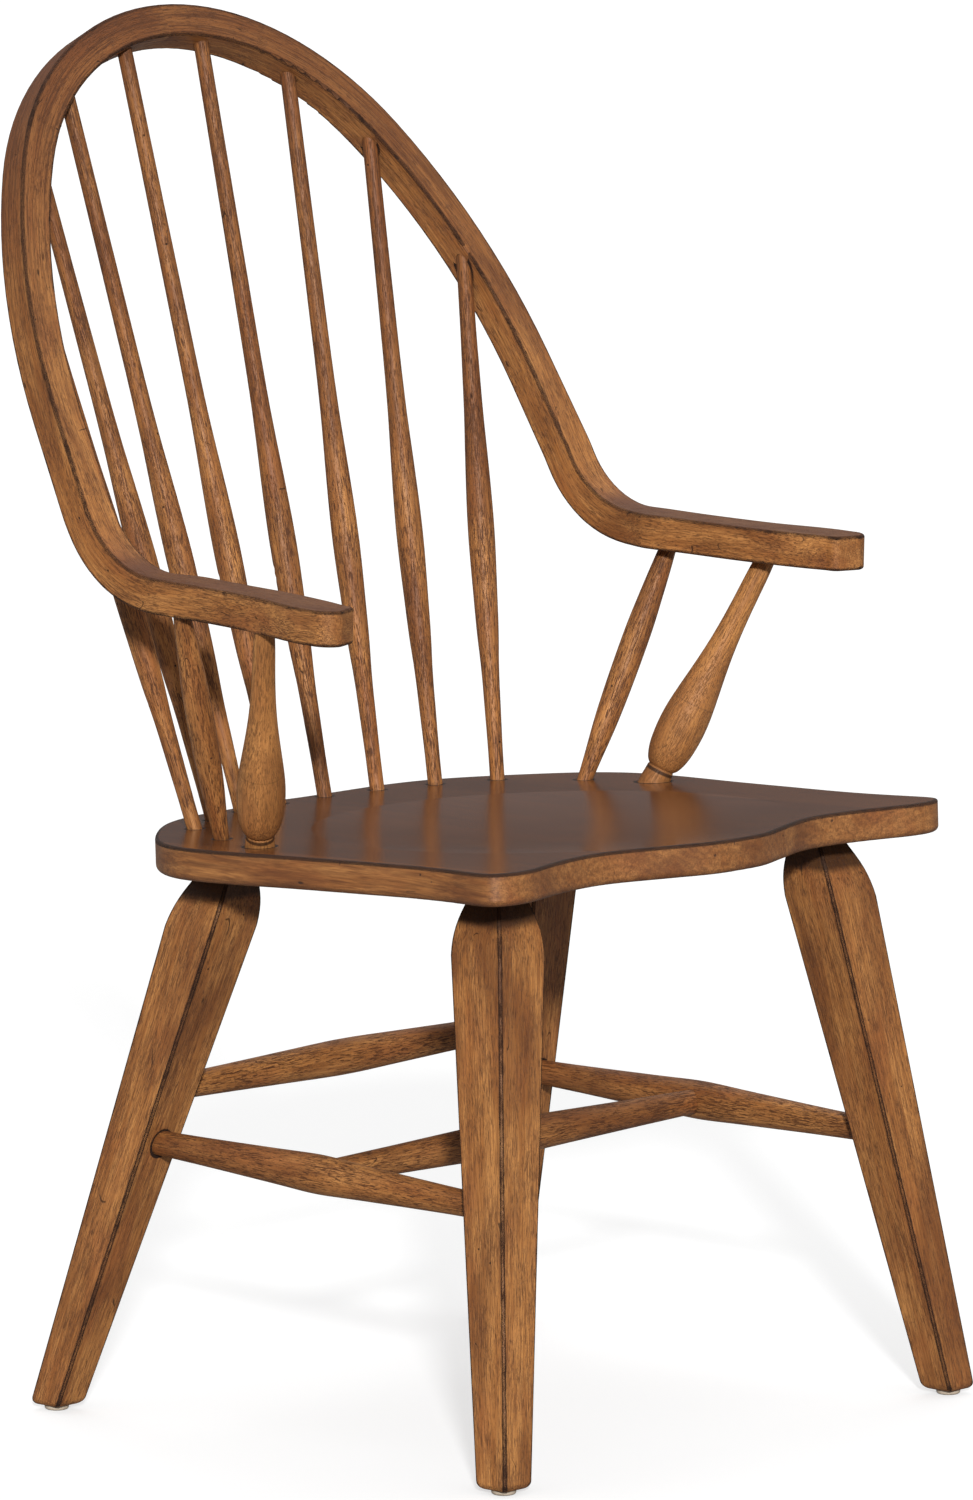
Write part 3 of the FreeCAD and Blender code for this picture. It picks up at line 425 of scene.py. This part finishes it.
def new_material(name):
    """Material with an empty shader, its tree, and the piece's own coordinates."""
    material = bpy.data.materials.new(name)
    material.use_nodes = True
    tree = material.node_tree
    shader = tree.nodes["Principled BSDF"]
    place = tree.nodes.new("ShaderNodeTexCoord").outputs["Object"]
    return material, tree, shader, place


def finish_wood(tree, shader, group, place, tone=0.0, sheen=SHEEN, calm=0.0, opened=1.0,
                lined=True):
    """Put the wood group on a shader. Calm takes away relief, and opened is how porous it is."""
    edge, joint = edge_and_joint(tree)
    wood = add(tree, "ShaderNodeGroup", node_tree=group)
    edge = edge if lined else 0.0
    for name, value in (("Place", place), ("Tone", tone), ("Edge", edge), ("Joint", joint),
                        ("Open", opened)):
        feed(tree, wood.inputs[name], value)
    relief = Term(tree, wood.outputs["Height"]) * (1.0 - calm)
    bump = add(tree, "ShaderNodeBump", {
        "Strength": RELIEF_STRENGTH, "Distance": RELIEF_DEPTH, "Height": relief})
    feed(tree, shader.inputs["Base Color"], wood.outputs["Color"])
    feed(tree, shader.inputs["Roughness"], wood.outputs["Roughness"])
    feed(tree, shader.inputs["Normal"], bump.outputs["Normal"])
    shader.inputs["Specular IOR Level"].default_value = sheen
    return wood


def facing_up(tree):
    """How far the surface faces upward."""
    return split(tree, add(tree, "ShaderNodeNewGeometry").outputs["Normal"])[2]


def darker_above(tree, place, step, amount, base):
    """Tone that grows with the height over the floor."""
    return split(tree, place)[2].rise(*step) * amount + base


def piece_points(node):
    """Vertices of a node, as an array."""
    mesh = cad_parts[node].data
    points = np.zeros(len(mesh.vertices) * 3)
    mesh.vertices.foreach_get("co", points)
    return points.reshape(-1, 3)


def long_way(node):
    """Middle of a long piece and its unit direction, upward or towards +X or +Y."""
    points = piece_points(node)
    low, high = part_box(node)
    middle = (low + high) / 2
    direction = np.linalg.svd(points - points.mean(axis=0), full_matrices=False)[2][0]
    main = int(np.argmax(np.abs(direction)))
    return middle, Vector(direction * math.copysign(1.0, direction[main]))


def half_length(node, middle, direction):
    """How far a long piece reaches from its middle."""
    return max((Vector(point) - middle).dot(direction) for point in piece_points(node))


def along_piece(tree, place, node, index):
    """Coordinates with Z along a piece, moved apart for each piece so that no two are alike."""
    middle, direction = long_way(node)
    turn = direction.rotation_difference(Vector((0, 0, 1))).to_matrix()
    shift = turn @ -middle + Vector([part * index for part in PIECE_SHIFT])
    mapping = add(tree, "ShaderNodeMapping", {
        "Vector": place, "Location": shift, "Rotation": turn.to_euler()})
    return mapping.outputs["Vector"]


def straight_wood(node, index, group, rise=0.0):
    """Wood with its grain along a straight piece, in that piece's own tone."""
    material, tree, shader, place = new_material(f"wood_{node}")
    base = TONE_SPREAD * math.fmod(index * TONE_TURN, 1.0)
    tone = darker_above(tree, place, SPINDLE_TONE_STEP, rise, base)
    local = along_piece(tree, place, node, index)
    leg = "leg" in node
    opened = LEG_OPEN if leg else 1.0
    wood = finish_wood(tree, shader, group, local, tone, opened=opened, lined=leg)
    if leg:
        _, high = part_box(node)
        below = high[2] - LEG_TENON_RISE - split(tree, place)[2]
        # Painted shadow of the seat: the top of each leg, just under the seat, is darkened with
        # glaze colour
        painted_seat_shadow = below.rise(LEG_TOP_SHADOW_REACH, LEG_TOP_SHADOW_REACH * LEG_TOP_SHADOW_FULL) * LEG_TOP_SHADOW_SHARE
        feed(tree, shader.inputs["Base Color"],
             blend(tree, painted_seat_shadow, wood.outputs["Color"], GLAZE))
    return material


def post_wood(node, index, group):
    """Turned post: a dark groove over its collar and a faint scribed ring round its bulb."""
    material, tree, shader, place = new_material(f"wood_{node}")
    local = along_piece(tree, place, node, index)
    wood = finish_wood(tree, shader, group, local)
    reach = half_length(node, *long_way(node))
    height = split(tree, local)[2] + (reach - PIECE_SHIFT[2] * index)
    ring = (height - (POST_TENON + POST_RING)).math("ABSOLUTE")
    groove = (height - (POST_TENON + POST_GROOVE)).math("ABSOLUTE")
    colour = layered(tree, wood.outputs["Color"], (
        (POST_PALE_SHARE, STAIN_LIGHT),
        (ring.rise(*POST_RING_STEP) * POST_RING_SHARE, GLAZE),
        (groove.rise(*POST_GROOVE_STEP) * POST_GROOVE_SHARE, GLAZE)))
    feed(tree, shader.inputs["Base Color"], colour)
    return material


def bow_place(tree, place):
    """Coordinates that follow the bent bow: across, deep, and along from the crown's middle."""
    turn = Matrix.Rotation(BOW_LEAN, 3, "X")
    mapping = add(tree, "ShaderNodeMapping", {
        "Vector": place, "Location": turn @ -BOW_FOOT, "Rotation": (BOW_LEAN, 0, 0)})
    x, deep, along = split(tree, mapping.outputs["Vector"])
    side = x.math("SIGN")
    out = x.math("ABSOLUTE")

    def polar(centre_out, centre_along, radius):
        """Turn from upright about a centre, and how far outside the middle line."""
        right = out - centre_out
        up = along - centre_along
        turned = right.math("ARCTAN2", up)
        reach = (right * right + up * up).math("SQRT")
        return turned, reach - radius

    crown_turn, crown_across = polar(0.0, CROWN_CENTRE, CROWN_RADIUS)
    side_turn, side_across = polar(SIDE_CENTRE[0], SIDE_CENTRE[1], SIDE_RADIUS)
    crown_run = crown_turn * CROWN_RADIUS
    crown_end = CROWN_TURN * CROWN_RADIUS
    side_run = (side_turn - CROWN_TURN) * SIDE_RADIUS + crown_end
    side_end = crown_end + (SIDE_TURN - CROWN_TURN) * SIDE_RADIUS
    flare_along = SIDE_CENTRE[1] + SIDE_RADIUS * math.cos(SIDE_TURN)
    flare_out = SIDE_CENTRE[0] + SIDE_RADIUS * math.sin(SIDE_TURN)
    flare_run = flare_along - along + side_end

    # The bend lies in the side view: its centre is in front of the back and above the arm.
    # Behind and below are counted from that centre.
    turn_sum = math.pi / 2 - BOW_LEAN - ARM_DROP
    bend_along = CORNER_ALONG + BEND_RADIUS * math.tan(turn_sum / 2)
    behind = deep + BEND_RADIUS
    below = bend_along - along
    bend_turn = below.math("ARCTAN2", behind)
    bend_deep = (behind * behind + below * below).math("SQRT") - BEND_RADIUS
    bend_start = side_end + flare_along - bend_along
    middle_radius = BEND_RADIUS + BOW_DEPTH / 2
    bend_run = bend_turn * middle_radius + bend_start

    # Past the bend, the run goes on along the arm and the depth is counted below its top.
    arm_start = bend_start + turn_sum * middle_radius
    arm_run = below * math.cos(turn_sum) - behind * math.sin(turn_sum) + arm_start
    arm_deep = below * math.sin(turn_sum) + behind * math.cos(turn_sum) - BEND_RADIUS

    def choose(test, first, second):
        """First where the test is 1, else second."""
        return test * (first - second) + second

    on_crown = (CROWN_TURN - crown_turn).over(0.0)
    above_flare = along.over(flare_along)
    above_bend = along.over(bend_along)
    on_arm = bend_turn.over(turn_sum)
    lower_run = choose(above_bend, flare_run, choose(on_arm, arm_run, bend_run))
    lower_deep = choose(above_bend, deep, choose(on_arm, arm_deep, bend_deep))
    run = choose(above_flare, choose(on_crown, crown_run, side_run), lower_run)
    across = choose(above_flare, choose(on_crown, crown_across, side_across), out - flare_out)
    joined = add(tree, "ShaderNodeCombineXYZ", {0: across * side, 1: lower_deep, 2: run * side})
    return joined.outputs[0]


def socket_places():
    """Middle of each socket in the bow, and how far round it the wall is thin."""
    for node in sorted(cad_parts):
        if "spindle" in node or "post" in node:
            middle, direction = long_way(node)
            reach = half_length(node, middle, direction)
            clear = POST_SOCKET_REACH if "post" in node else SOCKET_REACH
            yield middle + direction * (reach - SOCKET_DEEP), clear


def arm_end(tree, place):
    """1 on the upright corners at the arms' ends, which are worn soft and hold no glaze."""
    points = piece_points("bow")
    front = points[:, 1].min()
    last = points[points[:, 1] < front + ARM_END]
    low, high = last[:, 2].min(), last[:, 2].max()
    _, y, z = split(tree, place)
    inner = z.over(low + END_MARGIN) * (1.0 - z.over(high - END_MARGIN))
    return inner * (1.0 - y.over(front + ARM_END))


def bow_wood(group):
    """Wood whose grain runs round the bow and out along the arms, darker at the crown."""
    material, tree, shader, place = new_material("wood_bow")
    tone = darker_above(tree, place, BOW_TONE_STEP, BOW_TOP_TONE, BOW_TONE)
    facing = facing_up(tree)
    # Faces that look down keep less of the tone, so undersides are lighter: partly painted bounce
    # light from the floor, partly thinner glaze
    tone = tone * (facing.rise(*BOW_BOUNCE_STEP) * (1.0 - BOW_BOUNCE_TONE_LEFT) + BOW_BOUNCE_TONE_LEFT)
    wood = finish_wood(tree, shader, group, bow_place(tree, place), tone, opened=BOW_OPEN)
    edge = linked(tree, wood.inputs["Edge"])
    for socket, clear in socket_places():
        apart = add(tree, "ShaderNodeVectorMath", {0: place, 1: socket}, operation="DISTANCE")
        edge = edge * Term(tree, apart.outputs["Value"]).over(clear)
    feed(tree, wood.inputs["Edge"], edge * (1.0 - arm_end(tree, place)))
    top = facing.rise(*ARM_TOP_STEP) * ARM_TOP_SHARE
    feed(tree, shader.inputs["Base Color"], blend(tree, top, wood.outputs["Color"], SEAT_TOP))
    return material


def end_rings(tree, place):
    """Growth rings of the seat's boards, arcs on the front edge, and each board's own value."""
    x, _, z = split(tree, place)
    count = x * SEAT_BOARDS + SEAT_BOARD_START
    board = count.math("FLOOR")
    tone = add(tree, "ShaderNodeTexWhiteNoise", {"W": board}, noise_dimensions="1D")
    lot = Term(tree, tone.outputs["Value"])
    aside = (count - board - lot) * (1.0 / SEAT_BOARDS)
    under = z - HEART_HEIGHT + lot * HEART_SPREAD
    wobble = pattern(tree, place, RING_WOBBLE) * RING_WOBBLE_DEPTH
    from_heart = (aside * aside + under * under).math("SQRT") + wobble
    return (from_heart * RING_COUNT).math("SINE").rise(*RING_STEP), lot


def seat_wood(group):
    """Boards that run from back to front, with a dark glazed top."""
    material, tree, shader, place = new_material("wood_seat")
    mapping = add(tree, "ShaderNodeMapping", {
        "Vector": place, "Location": SEAT_GRAIN_SHIFT, "Rotation": (math.pi / 2, 0, 0)})
    grain = mapping.outputs["Vector"]
    up = facing_up(tree)
    top = up.rise(*SEAT_UP_STEP)
    wood = finish_wood(tree, shader, group, grain, SEAT_TONE, SEAT_SHEEN, top, SEAT_OPEN)
    edge = linked(tree, wood.inputs["Edge"])
    feed(tree, wood.inputs["Edge"], edge * SEAT_EDGE_GAIN)
    rim = edge.rise(*SEAT_RIM_STEP)
    rings, board = end_rings(tree, place)
    streak = pattern(tree, grain, SEAT_STREAK)
    cloud = pattern(tree, place, SEAT_CLOUD)
    mixed = board * SEAT_MIX_BOARD + streak * SEAT_MIX_STREAK + cloud * SEAT_MIX_CLOUD
    glazed = layered(tree, SEAT_TOP, (
        (mixed.rise(*SEAT_MIX_STEP), SEAT_TOP_LIGHT),
        (SEAT_BARE_SHARE, wood.outputs["Color"]),
        (rim * SEAT_RIM_SHARE, GLAZE)))
    sides = layered(tree, wood.outputs["Color"], (
        (rings * RING_SHARE, GLAZE_THIN),
        ((0.0 - up).rise(*SEAT_UNDER_STEP) * SEAT_UNDER_SHARE, GLAZE_THIN)))
    feed(tree, shader.inputs["Base Color"], blend(tree, top, sides, glazed))
    rough = Term(tree, wood.outputs["Roughness"])
    top_rough = streak * SEAT_ROUGH_STREAK + rim * SEAT_ROUGH_RIM + SEAT_ROUGH
    feed(tree, shader.inputs["Roughness"], top * (top_rough - rough) + rough)
    return material


def glide_plastic():
    """Pale plastic with dirt in patches."""
    material, tree, shader, place = new_material("glide_plastic")
    speck = pattern(tree, place, GLIDE_SPECK)
    patch = pattern(tree, place, GLIDE_PATCH)
    dirt = (speck * 0.5 + patch * 0.5).rise(*GLIDE_DIRT_STEP) * GLIDE_DIRT_SHARE
    feed(tree, shader.inputs["Base Color"], blend(tree, dirt, GLIDE_PALE, GLIDE_DIRT))
    feed(tree, shader.inputs["Roughness"], speck * GLIDE_ROUGH_SPECK + GLIDE_ROUGH)
    bump = add(tree, "ShaderNodeBump", {
        "Strength": GLIDE_RELIEF_STRENGTH, "Distance": GLIDE_RELIEF_DEPTH, "Height": speck})
    feed(tree, shader.inputs["Normal"], bump.outputs["Normal"])
    return material


def assign(node, material):
    """One material all over a node."""
    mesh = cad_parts[node].data
    mesh.materials.clear()
    mesh.materials.append(material)


def dress_chair():
    """Give every piece its finish."""
    group = make_wood_group()
    plastic = glide_plastic()
    for index, node in enumerate(sorted(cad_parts)):
        if node == "bow":
            assign(node, bow_wood(group))
        elif node == "seat":
            assign(node, seat_wood(group))
        elif node.startswith("glide"):
            assign(node, plastic)
        elif node.startswith("arm_post"):
            assign(node, post_wood(node, index, group))
        else:
            rise = SPINDLE_TOP_TONE if "spindle" in node else 0.0
            assign(node, straight_wood(node, index, group, rise))


def make_camera():
    """Camera at the photograph's viewpoint."""
    data = bpy.data.cameras.new("camera")
    data.lens = CAMERA_LENS
    data.sensor_width = CAMERA_SENSOR
    data.clip_end = CAMERA_FAR
    camera = bpy.data.objects.new("camera", data)
    camera.location = CAMERA_PLACE
    camera.rotation_euler = (math.radians(CAMERA_PITCH), 0.0, math.radians(CAMERA_YAW))
    bpy.context.scene.collection.objects.link(camera)
    bpy.context.scene.camera = camera


def make_lamp(name, source, strength, softness):
    """Distant lamp that shines from a direction."""
    data = bpy.data.lights.new(name, "SUN")
    data.energy = strength
    data.angle = math.radians(softness)
    lamp = bpy.data.objects.new(name, data)
    lamp.rotation_euler = source.to_track_quat("Z", "Y").to_euler()
    bpy.context.scene.collection.objects.link(lamp)


def seen_by_camera(tree):
    """1 for the rays that the camera sees directly."""
    return Term(tree, tree.nodes.new("ShaderNodeLightPath").outputs["Is Camera Ray"])


def make_light():
    """Key light beside the camera, a broad weak fill from behind, and a sky brighter overhead."""
    make_lamp("key", KEY_FROM, KEY_STRENGTH, KEY_SOFTNESS)
    make_lamp("fill", FILL_FROM, FILL_STRENGTH, FILL_SOFTNESS)
    world = bpy.data.worlds.new("studio")
    bpy.context.scene.world = world
    world.use_nodes = True
    tree = world.node_tree
    background = tree.nodes["Background"]
    way = tree.nodes.new("ShaderNodeTexCoord").outputs["Generated"]
    sky = split(tree, way)[2].rise(*SKY_STEP) * (SKY_TOP - SKY_EDGE) + SKY_EDGE
    background.inputs["Color"].default_value = WHITE
    feed(tree, background.inputs["Strength"], seen_by_camera(tree) * (1.0 - sky) + sky)


def make_floor():
    """Pale floor that keeps the chair's shadow."""
    bpy.ops.object.select_all(action="DESELECT")
    bpy.ops.mesh.primitive_plane_add(size=FLOOR_SIDE, location=(0, 0, 0))
    floor = bpy.context.object
    floor.name = "floor"
    material, tree, shader, _ = new_material("floor_pale")
    seen = seen_by_camera(tree)
    grey = seen * (FLOOR_SEEN - FLOOR_BOUNCE) + FLOOR_BOUNCE
    shade = add(tree, "ShaderNodeCombineColor", {0: grey, 1: grey, 2: grey})
    feed(tree, shader.inputs["Base Color"], shade.outputs[0])
    feed(tree, shader.inputs["Emission Strength"], seen * FLOOR_GLOW)
    shader.inputs["Emission Color"].default_value = WHITE
    shader.inputs["Roughness"].default_value = 1.0
    shader.inputs["Specular IOR Level"].default_value = 0.0
    floor.data.materials.append(material)


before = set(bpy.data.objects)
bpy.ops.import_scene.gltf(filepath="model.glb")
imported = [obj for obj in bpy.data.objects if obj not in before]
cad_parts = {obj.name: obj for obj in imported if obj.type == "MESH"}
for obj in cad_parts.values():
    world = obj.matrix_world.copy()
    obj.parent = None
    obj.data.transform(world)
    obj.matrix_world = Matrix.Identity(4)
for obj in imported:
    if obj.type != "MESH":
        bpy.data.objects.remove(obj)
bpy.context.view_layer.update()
make_camera()
make_light()
make_floor()
dress_chair()
bpy.context.scene.view_settings.view_transform = "Standard"
